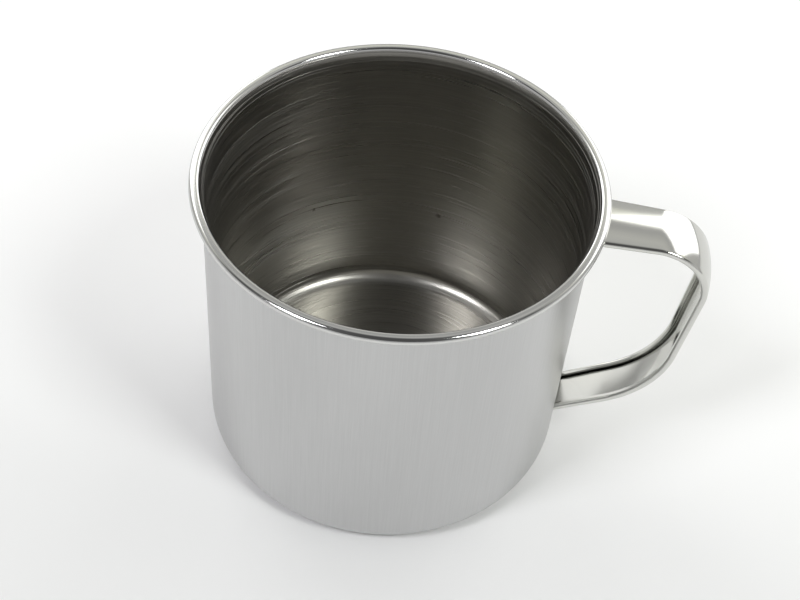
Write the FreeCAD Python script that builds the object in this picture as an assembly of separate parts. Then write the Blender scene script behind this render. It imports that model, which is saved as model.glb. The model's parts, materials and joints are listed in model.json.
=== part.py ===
import FreeCAD, Part

import math
import os

# Deep drawn cup with a rolled rim and a pressed strip handle. All sizes are in millimetres.
# The axis of the cup is Z, the base rests on Z = 0 and the handle stands out along +X.

# cup
wall_radius = 40.0       # outside of the straight wall
sheet = 0.5              # thickness of the drawn sheet
height = 73.0            # from the base to the top of the rim
base_bend = 4.8          # outside radius where the base turns up into the wall

# rolled rim: the sheet turns outward, runs level, and folds back under itself
rim_radius = 42.5        # furthest reach of the rim from the axis
rim_bend = 1.0           # radius of the bore's surface where the wall turns outward
rim_depth = 1.4          # height of the folded edge
rim_gap = 0.3            # between the free edge of the fold and the wall

# handle strip: a crowned web whose two long edges are rolled toward the cup
strip = 0.5              # thickness of the handle's sheet
top_width = 12.6         # across the strip where it leaves the wall under the rim
foot_width = 10.2        # across the strip where it comes back to the wall
crown_flat = 4.2         # width of the level middle of the web
crown_slope = 7.0        # degrees that the web falls away on each side of its middle
roll_radius = 0.75       # outside radius of each rolled edge
lip = 0.6                # flat length of the rolled edge past its half turn

# handle line: the middle of the web's outer face, seen from the side
top_height = 70.7        # where the top arm leaves the wall
knee_reach = 66.4        # corner of the top arm and the grip, before rounding
knee_height = 70.0
knee_radius = 10.6
elbow_reach = 62.0       # corner of the grip and the lower arm, before rounding
elbow_height = 25.9
elbow_radius = 27.6
foot_height = 12.2       # where the lower arm meets the wall

# small bends are pressed as a run of narrow flats
quarter_flats = 3        # in each quarter turn of a rolled edge that shows
under_flats = 2          # in the quarter turn on the underside of the handle's rolled edges
floor_flats = 5          # where the floor turns up into the bore

bore_radius = wall_radius - sheet


def polar(centre, radius, degrees):
    """Point at an angle on a circle in the profile plane; 0 is outward and 90 is up."""
    turn = math.radians(degrees)
    return centre[0] + radius * math.cos(turn), centre[1] + radius * math.sin(turn)


def flats(centre, radius, first, last, count):
    """Corners of the flats that stand for an arc, from the angle after the first to the last."""
    return [polar(centre, radius, first + (last - first) * step / count) for step in range(1, count + 1)]


def make_cup():
    """Base, wall and rolled rim as one turned sheet."""
    roll = rim_depth / 2
    base_centre = (wall_radius - base_bend, base_bend)
    fold_centre = (bore_radius + rim_bend, height - rim_bend)
    roll_centre = (rim_radius - roll, height - roll)
    free_edge = wall_radius + rim_gap
    under_lip = height - rim_depth
    corners = [(wall_radius, base_bend), (wall_radius, height - sheet)]
    corners += [(roll_centre[0], height - sheet), (roll_centre[0], under_lip + sheet)]
    corners += [(free_edge, under_lip + sheet), (free_edge, under_lip), (roll_centre[0], under_lip)]
    corners += flats(roll_centre, roll, -90, 90, 2 * quarter_flats)
    corners += [(fold_centre[0], height)]
    corners += flats(fold_centre, rim_bend, 90, 180, quarter_flats)
    corners += [(bore_radius, base_bend)]
    corners += flats(base_centre, base_bend - sheet, 0, -90, floor_flats)
    corners += [(0.0, sheet), (0.0, 0.0), (base_centre[0], 0.0)]
    points = [FreeCAD.Vector(radius, 0, level) for radius, level in corners]
    middle = polar(base_centre, base_bend, -45)
    turn_up = Part.Arc(points[-1], FreeCAD.Vector(middle[0], 0, middle[1]), points[0])
    profile = Part.Wire([turn_up.toShape()] + Part.makePolygon(points).Edges)
    return Part.Face(profile).revolve(FreeCAD.Vector(), FreeCAD.Vector(0, 0, 1), 360)


def rounded(before, corner, after, radius):
    """Arc of a given radius tangent to the two runs that meet at a corner of the handle line."""
    back = (before - corner).normalize()
    ahead = (after - corner).normalize()
    half = back.getAngle(ahead) / 2
    bisector = (back + ahead).normalize()
    run = radius / math.tan(half)
    middle = corner + bisector * (radius / math.sin(half) - radius)
    return corner + back * run, middle, corner + ahead * run


def handle_line():
    """Spine of the handle: top arm, knee, grip, elbow and lower arm, carried on into the wall."""
    top = FreeCAD.Vector(wall_radius, 0, top_height)
    knee = FreeCAD.Vector(knee_reach, 0, knee_height)
    elbow = FreeCAD.Vector(elbow_reach, 0, elbow_height)
    foot = FreeCAD.Vector(wall_radius, 0, foot_height)
    sag = wall_radius - math.sqrt(wall_radius ** 2 - (top_width / 2) ** 2)
    overrun = 2 * sag + rim_depth
    start = top + (top - knee).normalize() * overrun
    end = foot + (foot - elbow).normalize() * overrun
    knee_in, knee_mid, knee_out = rounded(top, knee, elbow, knee_radius)
    elbow_in, elbow_mid, elbow_out = rounded(knee, elbow, foot, elbow_radius)
    return Part.Wire([
        Part.LineSegment(start, knee_in).toShape(),
        Part.Arc(knee_in, knee_mid, knee_out).toShape(),
        Part.LineSegment(knee_out, elbow_in).toShape(),
        Part.Arc(elbow_in, elbow_mid, elbow_out).toShape(),
        Part.LineSegment(elbow_out, end).toShape(),
    ])


def strip_section(width, origin, outward):
    """Cross-section of the strip at a point of the spine: crowned web, rolled edges and flat lips."""
    side = FreeCAD.Vector(0, 1, 0)
    shoulder = crown_flat / 2
    tangent = 90 - crown_slope
    reach = width / 2 - roll_radius
    edge = polar((reach, 0.0), roll_radius, tangent)
    fall = (edge[0] - shoulder) * math.tan(math.radians(crown_slope))
    roll_centre = (reach, -fall - edge[1])
    low = roll_centre[1] - roll_radius
    half = [(shoulder, 0.0), (edge[0], -fall)]
    half += flats(roll_centre, roll_radius, tangent, 0, quarter_flats)
    half += flats(roll_centre, roll_radius, 0, -90, under_flats)
    half += [(reach - lip, low), (reach - lip, low + strip), (reach, low + strip)]
    half += [polar(roll_centre, roll_radius - strip, tangent), (shoulder, -strip)]
    mirrored = [(-across, level) for across, level in reversed(half)]
    corners = [origin + side * across + outward * level for across, level in half + mirrored]
    return Part.makePolygon(corners + corners[:1])


def section_at(edge, parameter, width):
    """Cross-section of the strip square to the spine at a point of one of its edges."""
    outward = edge.tangentAt(parameter).cross(FreeCAD.Vector(0, 1, 0))
    return strip_section(width, edge.valueAt(parameter), outward)


def straight_run(edge, first_width, last_width):
    """A straight run of the strip, narrowing evenly from one end to the other."""
    first = section_at(edge, edge.FirstParameter, first_width)
    last = section_at(edge, edge.LastParameter, last_width)
    return Part.makeLoft([first, last], True, True)


def bent_run(edge, width):
    """A bend of the strip, turned about the bend's own centre at one width."""
    face = Part.Face(section_at(edge, edge.FirstParameter, width))
    turn = math.degrees(edge.Length / edge.Curve.Radius)
    return face.revolve(edge.Curve.Center, FreeCAD.Vector(0, 1, 0), turn)


def make_handle():
    """The strip along its whole line; it narrows along the straight runs and is coped to the wall."""
    spine = handle_line().Edges
    straights = [edge.Length for edge in spine if isinstance(edge.Curve, Part.Line)]
    taper = (foot_width - top_width) / sum(straights)
    width = top_width
    runs = []
    for edge in spine:
        if isinstance(edge.Curve, Part.Line):
            narrowed = width + taper * edge.Length
            runs.append(straight_run(edge, width, narrowed))
            width = narrowed
        else:
            runs.append(bent_run(edge, width))
    whole = runs[0].fuse(runs[1:])
    return whole.cut(Part.makeCylinder(wall_radius, height))


os.makedirs("parts", exist_ok=True)
for name, solid in (("cup", make_cup()), ("handle", make_handle())):
    solid.exportStep(f"parts/{name}.step")
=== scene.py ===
import json

import bpy
import numpy as np
from mathutils import Euler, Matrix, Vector

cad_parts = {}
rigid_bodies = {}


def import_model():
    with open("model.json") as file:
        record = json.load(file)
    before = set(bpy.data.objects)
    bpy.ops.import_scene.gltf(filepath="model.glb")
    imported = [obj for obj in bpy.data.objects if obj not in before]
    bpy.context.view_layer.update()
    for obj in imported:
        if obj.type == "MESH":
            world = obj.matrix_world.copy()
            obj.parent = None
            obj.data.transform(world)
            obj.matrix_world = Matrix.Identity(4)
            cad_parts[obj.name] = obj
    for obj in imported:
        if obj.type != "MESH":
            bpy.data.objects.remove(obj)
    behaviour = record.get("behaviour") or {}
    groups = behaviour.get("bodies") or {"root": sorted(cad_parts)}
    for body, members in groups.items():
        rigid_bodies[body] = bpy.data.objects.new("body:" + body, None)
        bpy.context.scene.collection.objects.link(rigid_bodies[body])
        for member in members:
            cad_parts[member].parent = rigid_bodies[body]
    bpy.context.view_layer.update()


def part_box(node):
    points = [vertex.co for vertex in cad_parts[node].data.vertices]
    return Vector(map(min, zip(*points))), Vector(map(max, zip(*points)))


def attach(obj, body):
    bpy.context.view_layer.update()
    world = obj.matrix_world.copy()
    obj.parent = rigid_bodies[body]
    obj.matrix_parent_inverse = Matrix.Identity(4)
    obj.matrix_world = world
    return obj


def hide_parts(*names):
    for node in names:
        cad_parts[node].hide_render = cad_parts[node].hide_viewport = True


bl_info = {
    "name": "Drawn Steel Cup",
    "version": (1, 0, 0),
    "blender": (4, 5, 0),
    "location": "3D View > Sidebar > Drawn Cup",
    "description": "A deep drawn cup with a rolled rim and a strip handle, its finishes and a studio",
    "category": "Object",
}

# The start-up objects go first, so that the frame's box holds the cup and its handle alone.
for leftover in list(bpy.data.objects):
    bpy.data.objects.remove(leftover)

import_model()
cup_low, cup_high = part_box("cup")
handle_low, handle_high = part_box("handle")

# The frame's rim is a run of flats, so it reaches a hair less far between their corners than at them.
rim_reach = min(cup_high.x, cup_high.y, -cup_low.x, -cup_low.y)


# ---------------------------------------------------------------- sizes, finishes and studio

def length(name, description, default):
    """A size in metres, shown to a hundredth of a millimetre."""
    return bpy.props.FloatProperty(
        name=name, description=description, default=default, min=0.0, precision=5, unit="LENGTH")


def fraction(name, description, default):
    """A share from none to all."""
    return bpy.props.FloatProperty(
        name=name, description=description, default=default, min=0.0, max=1.0, subtype="FACTOR")


def tint(name, description, default):
    """A colour without transparency."""
    return bpy.props.FloatVectorProperty(
        name=name, description=description, default=default, min=0.0, max=1.0, size=3, subtype="COLOR")


def pattern(name, description, default):
    """How many cells of a noise there are in a metre along each of three directions."""
    return bpy.props.FloatVectorProperty(name=name, description=description, default=default, size=3)


class CupSizes(bpy.types.PropertyGroup):
    """Sizes of the turned sheet"""
    rim_radius: length("Rim radius", "Furthest reach of the rolled rim from the axis", rim_reach)
    height: length("Height", "From the base to the top of the rim", cup_high.z)
    wall_radius: length("Wall radius", "Outside of the straight wall", 0.0400)
    sheet: length("Sheet", "Thickness of the drawn sheet", 0.0005)
    base_bend: length("Base bend", "Outside radius where the base turns up into the wall", 0.0048)
    mouth_radius: length("Mouth radius", "Clear opening inside the rim", 0.0403)
    flare_angle: bpy.props.FloatProperty(
        name="Flare angle", description="How far the wall leans outward where it runs into the rim",
        default=np.radians(25.0), subtype="ANGLE")
    rim_bend: length("Rim bend", "Radius of the rim's inner edge", 0.0007)
    rim_crown: length("Rim crown", "Radius of the rim's upper outer edge", 0.0010)
    rim_depth: length("Rim depth", "Height of the folded edge", 0.0014)
    rim_gap: length("Rim gap", "Between the free edge of the fold and the leaning wall", 0.0003)
    sides: bpy.props.IntProperty(
        name="Sides", description="Steps of the turned surface round the axis", default=384, min=24)


class HandleSizes(bpy.types.PropertyGroup):
    """Sizes of the strip; a corner of its line is where two straight runs would meet, before rounding"""
    wall_radius: length("Wall radius", "Radius of the wall that the strip is coped to", 0.0400)
    strip: length("Strip", "Thickness of the handle's sheet", 0.0005)
    top_width: length("Top width", "Across the strip where it leaves the wall", 0.0134)
    knee_width: length("Knee width", "Across the strip through the knee", 0.0124)
    elbow_width: length("Elbow width", "Across the strip through the elbow", 0.0110)
    foot_width: length("Foot width", "Across the strip where it comes back to the wall", 0.0105)
    crown_radius: length("Crown radius", "Radius of the web across the strip", 0.0320)
    roll_radius: length("Roll radius", "Outside radius of each rolled edge", 0.00075)
    lip: length("Lip", "Flat length of the rolled edge past its half turn", 0.0006)
    lip_relief: length("Lip relief", "How far the lips stop short of the wall at the foot", 0.0015)
    drawn_end: length("Drawn end", "Length over which each end is drawn out to the wall", 0.0120)
    seat: fraction("Seat", "Share of the strip's thickness by which its ends reach into the wall", 0.3)
    top_height: length("Top height", "Height at which the top arm leaves the wall", handle_high.z)
    knee_reach: length("Knee reach", "From the axis to the corner of the top arm and the grip", 0.06686)
    knee_height: length("Knee height", "Height of the corner of the top arm and the grip", 0.0702)
    knee_radius: length("Knee radius", "Rounding of that corner", 0.0126)
    elbow_reach: length("Elbow reach", "From the axis to the corner of the grip and the lower arm", 0.0615)
    elbow_height: length("Elbow height", "Height of the corner of the grip and the lower arm", 0.0250)
    elbow_radius: length("Elbow radius", "Rounding of that corner", 0.0260)
    foot_height: length("Foot height", "Height at which the lower arm meets the wall", handle_low.z)


class SteelFinish(bpy.types.PropertyGroup):
    """Colours and roughness of each surface, and the pitch and depth of its marks"""
    wall_colour: tint("Wall", "Satin steel of the outside", (0.57, 0.57, 0.57))
    # The bore's colour is darker than the wall's because it carries painted shade for the inside of the
    # cup on top of the turned steel's own tone
    bore_colour_and_shade: tint("Bore", "Turned steel of the inside", (0.385, 0.375, 0.35))
    rim_colour: tint("Rim", "Buffed steel of the rim", (0.66, 0.66, 0.65))
    handle_colour: tint("Handle", "Polished steel of the handle", (0.68, 0.68, 0.65))
    stain_colour: tint("Stain", "Small dark marks in the bore", (0.10, 0.09, 0.08))
    wall_roughness: fraction("Wall roughness", "How soft the outside's reflections are", 0.30)
    bore_roughness: fraction("Bore roughness", "How soft the inside's reflections are", 0.30)
    rim_roughness: fraction("Rim roughness", "How soft the rim's reflections are", 0.11)
    handle_roughness: fraction("Handle roughness", "How soft the handle's reflections are", 0.10)
    wall_streaks: pattern("Wall streaks", "Per metre round the wall and up it", (4200.0, 4200.0, 55.0))
    bore_streaks: pattern("Bore streaks", "Per metre round the bore and up it", (22.0, 22.0, 2600.0))
    bore_rings: pattern("Bore rings", "Broad waves per metre round the bore and up it", (9.0, 9.0, 760.0))
    bore_scores: pattern("Bore scores", "Thin rings per metre round the bore and up it", (7.0, 7.0, 900.0))
    handle_lines: pattern("Handle lines", "Per metre along the strip and across it", (60.0, 3200.0, 1.0))
    wall_streak_depth: length("Wall streak depth", "Depth of the wall's streaks", 0.000010)
    bore_streak_depth: length("Bore streak depth", "Depth of the bore's fine turning lines", 0.000020)
    ring_depth: length("Ring depth", "Depth of the broad waves in the bore", 0.000060)
    score_depth: length("Score depth", "Depth of the thin rings in the middle of the bore", 0.000015)
    side_score_depth: length("Side score depth", "Added depth of the thin rings at its sides", 0.000050)
    handle_line_depth: length("Handle line depth", "Depth of the handle's lines", 0.000002)


class StudioSettings(bpy.types.PropertyGroup):
    """Floor, room light and camera"""
    floor_colour: tint("Floor", "Pale sheet that the cup stands on", (0.88, 0.88, 0.88))
    floor_reach: length("Floor reach", "Radius of the floor", 3.0)
    floor_glow: fraction("Floor glow", "How much the far floor whitens for the camera", 0.15)
    back_light: bpy.props.FloatProperty(
        name="Back light", description="Brightness of the room behind the cup", default=0.88, min=0.0)
    overhead_light: bpy.props.FloatProperty(
        name="Overhead light", description="Brightness of the room above the cup", default=0.25, min=0.0)
    front_light: bpy.props.FloatProperty(
        name="Front light", description="Brightness high on the camera's side", default=0.09, min=0.0)
    low_light: bpy.props.FloatProperty(
        name="Low light", description="Added brightness low on the camera's side", default=0.5, min=0.0)
    lens: bpy.props.FloatProperty(
        name="Lens", description="Focal length on a 36 mm frame", default=65.547, min=1.0, unit="CAMERA")
    camera_place: bpy.props.FloatVectorProperty(
        name="Camera", description="Place of the camera", default=(0.019537, -0.209714, 0.276740),
        size=3, subtype="TRANSLATION", unit="LENGTH")
    camera_turn: bpy.props.FloatVectorProperty(
        name="Camera turn", description="Rotation of the camera",
        default=(0.716074, -0.063530, 0.156137), size=3, subtype="EULER", unit="ROTATION")


# ---------------------------------------------------------------- surfaces

def arc(centre, radius, start, stop, steps):
    """Points on a circle arc from one angle to another, in degrees: centre + radius (cos, sin)."""
    turn = np.radians(np.linspace(start, stop, steps + 1))
    return np.column_stack((centre[0] + radius * np.cos(turn), centre[1] + radius * np.sin(turn)))


def run(start, stop, steps):
    """Evenly spaced points from start to stop, without the start itself."""
    share = np.linspace(0, 1, steps + 1)[1:, None]
    return np.asarray(start) * (1 - share) + np.asarray(stop) * share


def cup_profile(size):
    """Half outline of the cup as (radius, height), from the middle of the base's underside round to
    the middle of the floor: straight runs between arcs for the base bend, the fold and crown of the
    rim, its inner edge and the bend of the floor. Below the rim both faces of the wall lean outward
    by rise times the square of the share of the way up. The last number in each is its steps."""
    wall, sheet, fold = size.wall_radius, size.sheet, size.rim_depth - size.rim_crown
    bore = wall - sheet
    bend = (wall - size.base_bend, size.base_bend)
    turn = (size.mouth_radius + size.rim_bend, size.height - size.rim_bend)
    crown = (size.rim_radius - size.rim_crown, size.height - size.rim_crown)
    lower = (size.rim_radius - fold, size.height - size.rim_crown)
    inner_edge = arc(turn, size.rim_bend, 90, 180 - np.degrees(size.flare_angle), 12)[1:]
    rise = inner_edge[-1, 0] - bore
    lean_foot = inner_edge[-1, 1] - 2 * rise / np.tan(size.flare_angle)

    def lean(start, top):
        share = np.linspace(0, 1, 13)
        return np.column_stack((start + rise * share ** 2, lean_foot + (top - lean_foot) * share))[1:]

    hollow_reach = size.rim_radius - size.rim_depth / 2
    free_edge = wall + rise + size.rim_gap
    under = size.height - size.rim_depth
    return np.concatenate((
        run((0, 0), (bend[0], 0), 6),
        arc(bend, size.base_bend, -90, 0, 24)[1:],
        run((wall, bend[1]), (wall, lean_foot), 26),
        lean(wall, size.height - sheet),
        run((wall + rise, size.height - sheet), (hollow_reach, size.height - sheet), 2),
        run((hollow_reach, size.height - sheet), (hollow_reach, under + sheet), 2),
        run((hollow_reach, under + sheet), (free_edge, under + sheet), 2),
        run((free_edge, under + sheet), (free_edge, under), 2),
        run((free_edge, under), (lower[0], under), 2),
        arc(lower, fold, -90, 0, 10)[1:],
        arc(crown, size.rim_crown, 0, 90, 16)[1:],
        run((crown[0], size.height), (turn[0], size.height), 3),
        inner_edge,
        lean(bore, inner_edge[-1, 1])[-2::-1],
        run((bore, lean_foot), (bore, bend[1]), 26),
        arc(bend, size.base_bend - sheet, 0, -90, 20)[1:],
        run((bend[0], sheet), (0, sheet), 10),
    ))


def turned_surface(profile, sides):
    """Vertices and faces of a profile turned about Z: (r cos a, r sin a, z) on a grid of angle by
    profile point, closed on the axis at both ends by fans round a single point."""
    angle = np.linspace(0, 2 * np.pi, sides, endpoint=False)
    ring, level = profile[:-1, 0], profile[:-1, 1]
    grid = np.stack((
        np.outer(ring, np.cos(angle)),
        np.outer(ring, np.sin(angle)),
        np.repeat(level[:, None], sides, axis=1),
    ), axis=-1).reshape(-1, 3)
    poles = np.array([[0, 0, 0], [0, 0, profile[-1, 1]]])
    points = np.concatenate((grid, poles))
    index = np.arange(len(grid)).reshape(len(ring), sides)
    ahead = np.roll(index, -1, axis=1)
    quads = np.stack((index[:-1], ahead[:-1], ahead[1:], index[1:]), axis=-1).reshape(-1, 4)
    bottom = np.column_stack((np.full(sides, len(grid)), ahead[0], index[0]))
    top = np.column_stack((np.full(sides, len(grid) + 1), index[-1], ahead[-1]))
    return points, quads, np.concatenate((bottom, top))


def rounded_corner(before, corner, after, radius):
    """Centre and end points of the arc that rounds a corner between two straight runs."""
    back = (before - corner) / np.linalg.norm(before - corner)
    ahead = (after - corner) / np.linalg.norm(after - corner)
    half = np.arccos(back @ ahead) / 2
    bisector = (back + ahead) / np.linalg.norm(back + ahead)
    reach = radius / np.tan(half)
    centre = corner + bisector * radius / np.sin(half)
    return centre, corner + back * reach, corner + ahead * reach


def handle_line(size):
    """Stations along the handle in the XZ plane: a straight run, an arc, a straight run, an arc and
    a straight run. Returns the place, tangent and width of the strip at each, and how far along the
    line it lies. The strip narrows evenly along the straight runs and keeps its width in the bends."""
    straight_steps, knee_steps, elbow_steps = 50, 60, 50
    top = np.array((size.wall_radius, size.top_height))
    knee = np.array((size.knee_reach, size.knee_height))
    elbow = np.array((size.elbow_reach, size.elbow_height))
    foot = np.array((size.wall_radius, size.foot_height))
    knee_centre, knee_in, knee_out = rounded_corner(top, knee, elbow, size.knee_radius)
    elbow_centre, elbow_in, elbow_out = rounded_corner(knee, elbow, foot, size.elbow_radius)

    def bend(centre, first, last, steps):
        start = np.degrees(np.arctan2(*(first - centre)[::-1]))
        stop = np.degrees(np.arctan2(*(last - centre)[::-1]))
        return arc(centre, np.linalg.norm(first - centre), start, stop, steps)[1:]

    def narrowing(first, last):
        return np.linspace(first, last, straight_steps + 1)[1:]

    places = np.concatenate((
        top[None],
        run(top, knee_in, straight_steps),
        bend(knee_centre, knee_in, knee_out, knee_steps),
        run(knee_out, elbow_in, straight_steps),
        bend(elbow_centre, elbow_in, elbow_out, elbow_steps),
        run(elbow_out, foot, straight_steps),
    ))
    widths = np.concatenate((
        [size.top_width],
        narrowing(size.top_width, size.knee_width),
        np.full(knee_steps, size.knee_width),
        narrowing(size.knee_width, size.elbow_width),
        np.full(elbow_steps, size.elbow_width),
        narrowing(size.elbow_width, size.foot_width),
    ))
    step = np.linalg.norm(np.diff(places, axis=0), axis=1)
    directions = np.gradient(places, axis=0)
    tangents = directions / np.linalg.norm(directions, axis=1)[:, None]
    return places, tangents, widths, np.concatenate(([0.0], np.cumsum(step)))


def strip_section(size, width):
    """Cross-sections for an array of widths, as (station, point, across/level): a crown of one
    radius over the web, tangent to a rolled edge of more than half a turn with a flat lip, and the
    same again on the inside one sheet deeper. It runs from one lip across the web to the other."""
    roll, strip, crown = size.roll_radius, size.strip, size.crown_radius
    reach = width[:, None] / 2 - roll
    slope = np.arcsin(reach / (crown - roll))
    drop = (crown - roll) * np.cos(slope) - crown

    def crown_points(radius, steps):
        lean = slope * np.linspace(0, 1, steps + 1)[None]
        return radius * np.sin(lean), radius * np.cos(lean) - crown

    def roll_points(radius, steps):
        share = np.linspace(0, 1, steps + 1)
        turn = (np.pi / 2 - slope) * (1 - share) - np.pi / 2 * share
        return reach + radius * np.cos(turn), drop + radius * np.sin(turn)

    # the zeros that are added below only bring each row to the shape of the others
    outer_web, outer_roll = crown_points(crown, 18), roll_points(roll, 18)
    inner_web, inner_roll = crown_points(crown - strip, 12), roll_points(roll - strip, 8)
    lip_share = np.linspace(0, 1, 4)[None, 1:]
    lip_out = (reach - size.lip * lip_share, drop - roll + 0 * lip_share + 0 * reach)
    edge_share = np.linspace(0, 1, 3)[None, 1:]
    lip_edge = (reach - size.lip + 0 * edge_share, drop - roll + strip * edge_share)
    lip_back = (reach - size.lip * (1 - lip_share), drop - roll + strip + 0 * lip_share)
    half = [np.concatenate(parts, axis=1) for parts in zip(
        outer_web, [p[:, 1:] for p in outer_roll], lip_out, lip_edge, lip_back,
        [p[:, -2::-1] for p in inner_roll], [p[:, -2::-1] for p in inner_web])]
    across = np.concatenate((half[0], -half[0][:, -2:0:-1]), axis=1)
    level = np.concatenate((half[1], half[1][:, -2:0:-1]), axis=1)
    return across, level


def handle_surface(size):
    """Vertices and faces of the strip: its section is carried along the line, square to it; at both
    ends every lengthwise line is drawn out until it meets the wall's cylinder, sqrt(radius squared
    less across squared) from the axis, and the lips stop short of it at the foot."""
    places, tangents, widths, along = handle_line(size)
    across, level = strip_section(size, widths)
    outward = np.column_stack((-tangents[:, 1], tangents[:, 0]))
    reach = places[:, None, 0] + outward[:, None, 0] * level
    height = places[:, None, 1] + outward[:, None, 1] * level
    seat = np.sqrt(size.wall_radius ** 2 - across ** 2) - size.seat * size.strip

    # the relief at the foot is full near the lips' faces and gone a little way up the rolls
    full, gone = 0.15, 0.35
    above_lips = (level[-1] - level[-1].min()) / size.roll_radius
    lips = np.clip((gone - above_lips) / (gone - full), 0, 1)
    inboard = np.abs(across[-1]) < size.foot_width / 2 - 1.2 * size.roll_radius
    foot_relief = size.lip_relief * lips * inboard

    for end, distance, relief in ((0, along, 0.0), (-1, along[-1] - along, foot_relief)):
        drawn = np.clip(1 - distance / size.drawn_end, 0, 1)[:, None]
        shift = (seat[end] - reach[end] + relief)[None] * drawn
        slope = tangents[end, 1] / tangents[end, 0]
        reach = reach + shift
        height = height + shift * slope
    stations, loop = across.shape
    points = np.stack((reach, across, height), axis=-1).reshape(-1, 3)
    index = np.arange(stations * loop).reshape(stations, loop)
    ahead = np.roll(index, -1, axis=1)
    quads = np.stack((index[:-1], index[1:], ahead[1:], ahead[:-1]), axis=-1).reshape(-1, 4)
    return points, quads, index[0], index[-1][::-1], along, loop


def make_object(name, points, faces, sharp_degrees):
    """A mesh object at the origin with smooth shading and sharp edges where faces meet steeply."""
    mesh = bpy.data.meshes.new(name)
    mesh.from_pydata(points.tolist(), [], faces)
    mesh.validate()
    mesh.shade_smooth()
    mesh.set_sharp_from_angle(angle=np.radians(sharp_degrees))
    made = bpy.data.objects.new(name, mesh)
    bpy.context.scene.collection.objects.link(made)
    return made


def add_measure(mesh, name, values):
    """Gives every vertex a number, which a material reads by name."""
    measure = mesh.attributes.new(name, "FLOAT", "POINT")
    measure.data.foreach_set("value", np.asarray(values, dtype=np.float32))


# ---------------------------------------------------------------- finishes

def put(tree, kind, inputs=None, **settings):
    """Adds a node, sets its properties, and gives each named input a value or a link."""
    made = tree.nodes.new(kind)
    for key, value in settings.items():
        setattr(made, key, value)
    for key, value in (inputs or {}).items():
        if isinstance(value, bpy.types.NodeSocket):
            tree.links.new(value, made.inputs[key])
        else:
            made.inputs[key].default_value = value
    return made


def arithmetic(tree, operation, *values, clamp=False):
    """One step of arithmetic on values or sockets, named as the Math node names it."""
    made = put(tree, "ShaderNodeMath", dict(enumerate(values)), operation=operation, use_clamp=clamp)
    return made.outputs[0]


def stretch(tree, vector, scale):
    """A vector scaled apart along its axes, so that a pattern on it runs into streaks."""
    made = put(tree, "ShaderNodeVectorMath", {0: vector, 1: scale}, operation="MULTIPLY")
    return made.outputs[0]


def ramp(tree, value, low, high):
    """A value carried to 0 at low and to 1 at high, smoothly."""
    made = put(tree, "ShaderNodeMapRange", {"Value": value, "From Min": low, "From Max": high},
               interpolation_type="SMOOTHSTEP")
    return made.outputs["Result"]


def noise(tree, vector, scale=1.0, detail=1.0, roughness=0.5):
    """The value of a noise, whose cells are 1 / scale apart."""
    made = put(tree, "ShaderNodeTexNoise", {
        "Vector": vector, "Scale": scale, "Detail": detail, "Roughness": roughness})
    return made.outputs[0]


def total(tree, *values):
    """The sum of two or more values."""
    whole = values[0]
    for value in values[1:]:
        whole = arithmetic(tree, "ADD", whole, value)
    return whole


def product(tree, *values):
    """The product of two or more values."""
    whole = values[0]
    for value in values[1:]:
        whole = arithmetic(tree, "MULTIPLY", whole, value)
    return whole


def rest_of(tree, share):
    """One less a share."""
    return arithmetic(tree, "SUBTRACT", 1.0, share)


def blend_values(tree, share, first, second):
    """A mix of two values by a share."""
    return put(tree, "ShaderNodeMix", {0: share, 2: first, 3: second}).outputs[0]


def blend_colours(tree, share, first, second):
    """A mix of two colours by a share."""
    first, second = (
        value if isinstance(value, bpy.types.NodeSocket) else (*value, 1.0) for value in (first, second))
    return put(tree, "ShaderNodeMix", {0: share, 6: first, 7: second}, data_type="RGBA").outputs[2]


def shades(tree, share, colour, darkest, lightest):
    """A colour that runs from a darker to a lighter shade of itself."""
    return blend_colours(tree, share, [darkest * c for c in colour], [lightest * c for c in colour])


def effect(name, inputs, outputs):
    """An empty node group with named sockets, and its input and output nodes."""
    group = bpy.data.node_groups.new(name, "ShaderNodeTree")
    for label, kind, default in inputs:
        made = group.interface.new_socket(name=label, in_out="INPUT", socket_type=kind)
        if default is not None:
            made.default_value = default
    for label, kind in outputs:
        group.interface.new_socket(name=label, in_out="OUTPUT", socket_type=kind)
    return group, group.nodes.new("NodeGroupInput"), group.nodes.new("NodeGroupOutput")


def brushing():
    """Streaks left by brushing or turning: a fine noise on a vector that is stretched along them."""
    group, given, result = effect(
        "Brushing", (("Vector", "NodeSocketVector", None),), (("Streaks", "NodeSocketFloat"),))
    streaks = noise(group, given.outputs["Vector"], detail=3.0, roughness=0.65)
    group.links.new(streaks, result.inputs["Streaks"])
    return group


def marks():
    """Small dark marks with ragged edges: the middles of the few cells of a cell pattern whose
    random value is low, each of its own size."""
    group, given, result = effect(
        "Small Marks",
        (("Vector", "NodeSocketVector", None), ("Scale", "NodeSocketFloat", 200.0),
         ("Share", "NodeSocketFloat", 0.1), ("Size", "NodeSocketFloat", 0.2)),
        (("Mask", "NodeSocketFloat"),))
    wander, wander_scale, smallest = 0.0006, 900.0, 0.25
    ragged = put(group, "ShaderNodeTexNoise", {
        "Vector": given.outputs["Vector"], "Scale": wander_scale, "Detail": 1.0}).outputs["Color"]
    place = put(group, "ShaderNodeVectorMath", {
        0: given.outputs["Vector"], 1: stretch(group, ragged, (wander,) * 3)}, operation="ADD").outputs[0]
    cells = put(group, "ShaderNodeTexVoronoi", {"Vector": place, "Scale": given.outputs["Scale"]})
    pick = put(group, "ShaderNodeSeparateColor", {"Color": cells.outputs["Color"]})
    chosen = arithmetic(group, "LESS_THAN", pick.outputs[0], given.outputs["Share"])
    size = product(group, given.outputs["Size"], total(group, pick.outputs[1], smallest))
    outward = arithmetic(group, "DIVIDE", cells.outputs["Distance"], size)
    inside = arithmetic(group, "SUBTRACT", 1.0, outward, clamp=True)
    group.links.new(product(group, chosen, ramp(group, inside, 0.0, 0.5)), result.inputs["Mask"])
    return group


def use(tree, group, **inputs):
    """Places a node group in a material, with its inputs given by name."""
    return put(tree, "ShaderNodeGroup", {key.replace("_", " "): value for key, value in inputs.items()},
               node_tree=group)


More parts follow.
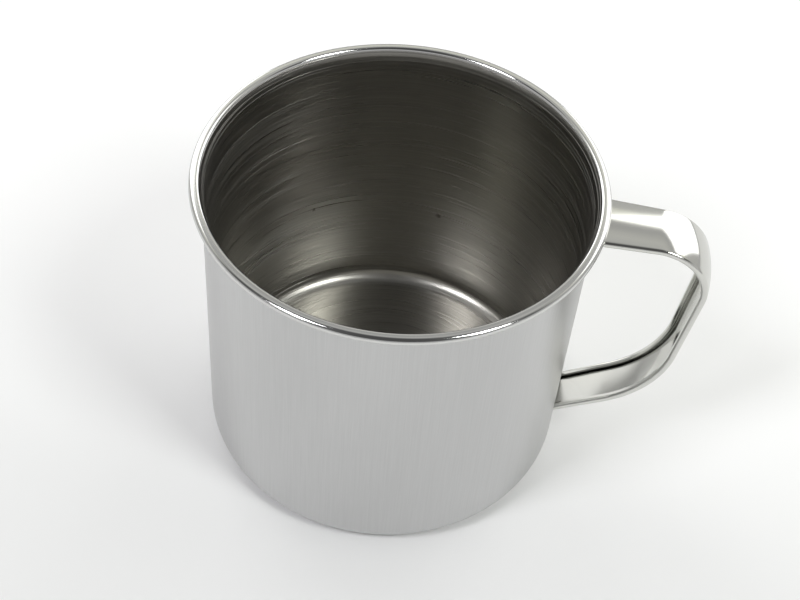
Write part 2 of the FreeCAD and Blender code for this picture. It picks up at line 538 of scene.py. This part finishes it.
def steel(name):
    """An empty metal material with its tree, its shader and the place on the piece."""
    material = bpy.data.materials.new(name)
    material.use_nodes = True
    tree = material.node_tree
    shader = tree.nodes["Principled BSDF"]
    shader.inputs["Metallic"].default_value = 1.0
    return material, tree, shader, put(tree, "ShaderNodeTexCoord").outputs["Object"]


def set_relief(tree, shader, height):
    """Turns a height in metres into the shader's normal."""
    bump = put(tree, "ShaderNodeBump", {"Strength": 1.0, "Distance": 1.0, "Height": height})
    tree.links.new(bump.outputs[0], shader.inputs["Normal"])


def cup_zones(tree, size, parts, along):
    """Masks of the rim and of the bore, told apart by the distance from the axis, the height and
    the length along the profile."""
    seam = 0.0001
    flat = put(tree, "ShaderNodeCombineXYZ", {"X": parts["X"], "Y": parts["Y"]}).outputs[0]
    radius = put(tree, "ShaderNodeVectorMath", {0: flat}, operation="LENGTH").outputs["Value"]
    rim_foot = size.height - size.rim_depth
    rim_start = size.wall_radius + size.rim_gap
    turned_over = size.wall_radius + size.height
    rim = product(tree, ramp(tree, parts["Z"], rim_foot - seam, rim_foot + seam),
                  ramp(tree, radius, rim_start - seam, rim_start + seam))
    above_base = ramp(tree, parts["Z"], 0.3 * size.sheet, 0.7 * size.sheet)
    past_rim = ramp(tree, along, turned_over, turned_over + seam)
    return rim, product(tree, above_base, past_rim, rest_of(tree, rim))


def cup_steel(finish, size, brushed, marked):
    """Satin outside with upright streaks, turned bore with rings and small marks, and a buffed rim."""
    material, tree, shader, place = steel("Cup Steel")
    parts = put(tree, "ShaderNodeSeparateXYZ", {"Vector": place}).outputs
    along = put(tree, "ShaderNodeAttribute", attribute_name="profile_length").outputs["Fac"]
    rim, bore = cup_zones(tree, size, parts, along)

    # the bore's patterns run round it, and up it by the length along the profile
    unrolled = put(tree, "ShaderNodeCombineXYZ", {"X": parts["X"], "Y": parts["Y"], "Z": along}).outputs[0]
    upright = use(tree, brushed, Vector=stretch(tree, place, finish.wall_streaks)).outputs["Streaks"]
    turned = use(tree, brushed, Vector=stretch(tree, unrolled, finish.bore_streaks)).outputs["Streaks"]
    rings = noise(tree, stretch(tree, unrolled, finish.bore_rings))
    # a thin ring runs wherever this noise crosses its middle value
    scores = noise(tree, stretch(tree, unrolled, finish.bore_scores), detail=0.0)
    off_middle = arithmetic(tree, "ABSOLUTE", arithmetic(tree, "SUBTRACT", scores, 0.5))
    scores = ramp(tree, off_middle, 0.04, 0.0)
    smudge = noise(tree, place, scale=38.0, detail=4.0, roughness=0.6)
    specks = use(tree, marked, Vector=place, Scale=170.0, Share=0.10, Size=0.16).outputs["Mask"]

    outer = shades(tree, upright, finish.wall_colour, darkest=0.90, lightest=1.08)
    # the bore's colour holds painted shade for the hollow as well as the turned steel's tone; the turning
    # streaks vary it at random
    inner = shades(tree, turned, finish.bore_colour_and_shade, darkest=0.72, lightest=1.25)
    inner = blend_colours(tree, product(tree, specks, 0.75), inner, finish.stain_colour)
    colour = blend_colours(tree, rim, blend_colours(tree, bore, outer, inner), finish.rim_colour)
    tree.links.new(colour, shader.inputs["Base Color"])

    outer_rough = total(tree, product(tree, smudge, 0.10), finish.wall_roughness - 0.05)
    inner_rough = total(tree, product(tree, turned, 0.20), finish.bore_roughness - 0.10)
    rough = blend_values(tree, bore, outer_rough, inner_rough)
    tree.links.new(blend_values(tree, rim, rough, finish.rim_roughness), shader.inputs["Roughness"])

    # the thin rings are deeper toward both sides of the bore than in its middle
    sideways = arithmetic(tree, "ABSOLUTE", parts["X"])
    side = ramp(tree, sideways, 0.4 * size.wall_radius, 0.85 * size.wall_radius)
    score_depth = total(tree, product(tree, side, finish.side_score_depth), finish.score_depth)
    outer_relief = product(tree, upright, finish.wall_streak_depth)
    inner_relief = total(tree, product(tree, turned, finish.bore_streak_depth),
                         product(tree, rings, finish.ring_depth), product(tree, scores, score_depth))
    relief = blend_values(tree, bore, outer_relief, inner_relief)
    set_relief(tree, shader, product(tree, relief, rest_of(tree, rim)))
    return material


def handle_steel(finish, brushed, marked):
    """Polished strip steel with faint lengthwise lines, soft handling marks and a few specks."""
    material, tree, shader, place = steel("Handle Steel")
    along = put(tree, "ShaderNodeAttribute", attribute_name="strip_length").outputs["Fac"]
    across = put(tree, "ShaderNodeSeparateXYZ", {"Vector": place}).outputs["Y"]
    unrolled = put(tree, "ShaderNodeCombineXYZ", {"X": along, "Y": across}).outputs[0]
    lines = use(tree, brushed, Vector=stretch(tree, unrolled, finish.handle_lines)).outputs["Streaks"]
    smudge = noise(tree, place, scale=120.0, detail=4.0)
    specks = use(tree, marked, Vector=place, Scale=260.0, Share=0.03, Size=0.12).outputs["Mask"]

    colour = shades(tree, lines, finish.handle_colour, darkest=0.96, lightest=1.04)
    colour = blend_colours(tree, product(tree, specks, 0.6), colour, finish.stain_colour)
    tree.links.new(colour, shader.inputs["Base Color"])
    rough = total(tree, product(tree, smudge, 0.08), finish.handle_roughness - 0.04)
    tree.links.new(rough, shader.inputs["Roughness"])
    set_relief(tree, shader, product(tree, lines, finish.handle_line_depth))
    return material


def shared_effect(name, build):
    """A node group by name, built the first time it is asked for."""
    return bpy.data.node_groups.get(name) or build()


# ---------------------------------------------------------------- operators

class CUP_OT_shell(bpy.types.Operator):
    """Build the cup's base, wall and rolled rim as one turned sheet"""
    bl_idname = "drawn_cup.shell"
    bl_label = "Cup"
    bl_options = {"REGISTER", "UNDO"}

    def execute(self, context):
        size, finish = context.scene.cup_sizes, context.scene.steel_finish
        profile = cup_profile(size)
        points, quads, fans = turned_surface(profile, size.sides)
        shell = make_object("cup_shell", points, quads.tolist() + fans.tolist(), 40)
        step = np.linalg.norm(np.diff(profile, axis=0, prepend=[[0, 0]]), axis=1)
        length_so_far = np.cumsum(step)
        rings = np.repeat(length_so_far[:-1], size.sides)
        add_measure(shell.data, "profile_length", np.concatenate((rings, [0.0, length_so_far[-1]])))
        shell.data.materials.append(cup_steel(
            finish, size, shared_effect("Brushing", brushing), shared_effect("Small Marks", marks)))
        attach(shell, "root")
        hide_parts("cup")
        return {"FINISHED"}


class CUP_OT_handle(bpy.types.Operator):
    """Build the handle from a strip with rolled edges, bent twice and coped to the wall"""
    bl_idname = "drawn_cup.handle"
    bl_label = "Handle"
    bl_options = {"REGISTER", "UNDO"}

    def execute(self, context):
        size, finish = context.scene.handle_sizes, context.scene.steel_finish
        points, quads, first, last, along, loop = handle_surface(size)
        strip = make_object("handle_strip", points, quads.tolist() + [first.tolist(), last.tolist()], 40)
        add_measure(strip.data, "strip_length", np.repeat(along, loop))
        strip.data.materials.append(handle_steel(
            finish, shared_effect("Brushing", brushing), shared_effect("Small Marks", marks)))
        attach(strip, "root")
        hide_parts("handle")
        return {"FINISHED"}


def floor_paper(settings):
    """Matt pale paper that takes the cup's shadow and whitens toward the back, where only the camera
    sees it do so."""
    material = bpy.data.materials.new("Floor Paper")
    material.use_nodes = True
    tree = material.node_tree
    shader = tree.nodes["Principled BSDF"]
    place = put(tree, "ShaderNodeTexCoord").outputs["Object"]
    depth = put(tree, "ShaderNodeSeparateXYZ", {"Vector": place}).outputs["Y"]
    seen = put(tree, "ShaderNodeLightPath").outputs["Is Camera Ray"]
    glow = product(tree, ramp(tree, depth, -0.04, 0.06), seen, settings.floor_glow)
    tree.links.new(glow, shader.inputs["Emission Strength"])
    shader.inputs["Emission Color"].default_value = (1.0, 1.0, 1.0, 1.0)
    shader.inputs["Base Color"].default_value = (*settings.floor_colour, 1.0)
    shader.inputs["Roughness"].default_value = 0.9
    shader.inputs["Specular IOR Level"].default_value = 0.0
    return material


# The room behind the cup, from low to high: the height of a direction (the sine of its elevation),
# the brightness there, and the share of blue left in it.
back_bands = ((0.10, 0.60, 0.97), (0.50, 0.64, 0.97), (0.56, 0.95, 0.90), (0.67, 0.92, 0.90),
              (0.73, 0.50, 0.98), (0.78, 0.52, 0.98), (0.85, 0.68, 0.95), (0.90, 0.66, 0.97))


def room_light(settings):
    """A room that is bright behind the cup, dimmer above it and dark on the camera's side except
    low down; the camera itself sees plain white."""
    world = bpy.data.worlds.new("Room")
    world.use_nodes = True
    tree = world.node_tree
    tree.nodes.clear()
    direction = put(tree, "ShaderNodeTexCoord").outputs["Generated"]
    parts = put(tree, "ShaderNodeSeparateXYZ", {"Vector": direction}).outputs
    bands = put(tree, "ShaderNodeValToRGB", {"Fac": parts["Z"]})
    stops = bands.color_ramp.elements
    stops[0].position, stops[1].position = 0.0, 1.0
    for height, level, blue in back_bands:
        stops.new(height).color = (level, level, level * blue, 1.0)
    lowest = back_bands[0][1]
    stops[0].color = (lowest, lowest, lowest, 1.0)
    stops[-1].color = (*(settings.overhead_light,) * 3, 1.0)
    behind = stretch(tree, bands.outputs["Color"], (settings.back_light,) * 3)
    low = rest_of(tree, ramp(tree, parts["Z"], 0.25, 0.50))
    ahead = total(tree, settings.front_light, product(tree, low, settings.low_light))
    room = blend_colours(tree, ramp(tree, parts["Y"], -0.15, 0.25), ahead, behind)
    seen = put(tree, "ShaderNodeLightPath").outputs["Is Camera Ray"]
    shown = blend_colours(tree, seen, room, (1.0, 1.0, 1.0))
    background = put(tree, "ShaderNodeBackground", {"Color": shown, "Strength": 1.0})
    output = put(tree, "ShaderNodeOutputWorld")
    tree.links.new(background.outputs[0], output.inputs["Surface"])
    return world


# Name, place, width and height in metres, watts, and tint of each lamp.
lamps = (
    ("lamp_left", (-0.62, -0.56, 1.00), (0.30, 0.50), 5.8, (0.97, 0.97, 1.0)),
    ("lamp_right", (0.72, -0.42, 1.00), (0.30, 0.50), 5.8, (0.98, 1.0, 0.97)),
    ("lamp_back_right", (0.68, 0.97, 0.58), (0.95, 1.10), 4.6, (1.0, 1.0, 1.0)),
    ("lamp_back_left", (-0.76, 0.91, 0.58), (0.80, 1.10), 4.2, (1.0, 1.0, 1.0)),
)


def soft_lamp(name, place, size, watts, colour, aim):
    """A rectangular lamp that faces a point, out of the camera's sight."""
    lamp = bpy.data.lights.new(name, "AREA")
    lamp.shape = "RECTANGLE"
    lamp.size, lamp.size_y = size
    lamp.energy = watts
    lamp.color = colour
    made = bpy.data.objects.new(name, lamp)
    made.location = place
    made.rotation_euler = (Vector(aim) - Vector(place)).to_track_quat("-Z", "Y").to_euler()
    made.visible_camera = False
    bpy.context.scene.collection.objects.link(made)


class CUP_OT_studio(bpy.types.Operator):
    """Lay the floor, hang the lamps, light the room and set up the camera"""
    bl_idname = "drawn_cup.studio"
    bl_label = "Studio"
    bl_options = {"REGISTER", "UNDO"}

    def execute(self, context):
        settings = context.scene.studio_settings
        angle = np.linspace(0, 2 * np.pi, 96, endpoint=False)
        circle = settings.floor_reach * np.column_stack((np.cos(angle), np.sin(angle), 0 * angle))
        floor = make_object("floor", circle, [list(range(len(angle)))], 30)
        floor.data.materials.append(floor_paper(settings))
        context.scene.world = room_light(settings)
        middle_of_cup = (0.0, 0.0, 0.04)
        for lamp in lamps:
            soft_lamp(*lamp, aim=middle_of_cup)
        camera = bpy.data.cameras.new("camera")
        camera.lens = settings.lens
        camera.clip_start = 0.01
        view = bpy.data.objects.new("camera", camera)
        view.location = settings.camera_place
        view.rotation_euler = Euler(settings.camera_turn)
        context.scene.collection.objects.link(view)
        context.scene.camera = view
        context.scene.view_settings.view_transform = "Standard"
        return {"FINISHED"}


class CUP_PT_panel(bpy.types.Panel):
    """The cup's builders in the sidebar"""
    bl_idname = "CUP_PT_panel"
    bl_label = "Drawn Cup"
    bl_space_type = "VIEW_3D"
    bl_region_type = "UI"
    bl_category = "Drawn Cup"

    def draw(self, context):
        scene = context.scene
        for operator, group in (
                ("drawn_cup.shell", scene.cup_sizes), ("drawn_cup.handle", scene.handle_sizes),
                (None, scene.steel_finish), ("drawn_cup.studio", scene.studio_settings)):
            if operator:
                self.layout.operator(operator)
            for name in group.__annotations__:
                self.layout.prop(group, name)


classes = (CupSizes, HandleSizes, SteelFinish, StudioSettings,
           CUP_OT_shell, CUP_OT_handle, CUP_OT_studio, CUP_PT_panel)
settings_of_scene = {"cup_sizes": CupSizes, "handle_sizes": HandleSizes, "steel_finish": SteelFinish,
                     "studio_settings": StudioSettings}


def register():
    for each in classes:
        bpy.utils.register_class(each)
    for name, kind in settings_of_scene.items():
        setattr(bpy.types.Scene, name, bpy.props.PointerProperty(type=kind))


def unregister():
    for name in settings_of_scene:
        delattr(bpy.types.Scene, name)
    for each in reversed(classes):
        bpy.utils.unregister_class(each)


def main():
    register()
    bpy.ops.drawn_cup.shell()
    bpy.ops.drawn_cup.handle()
    bpy.ops.drawn_cup.studio()


if __name__ == "__main__":
    main()
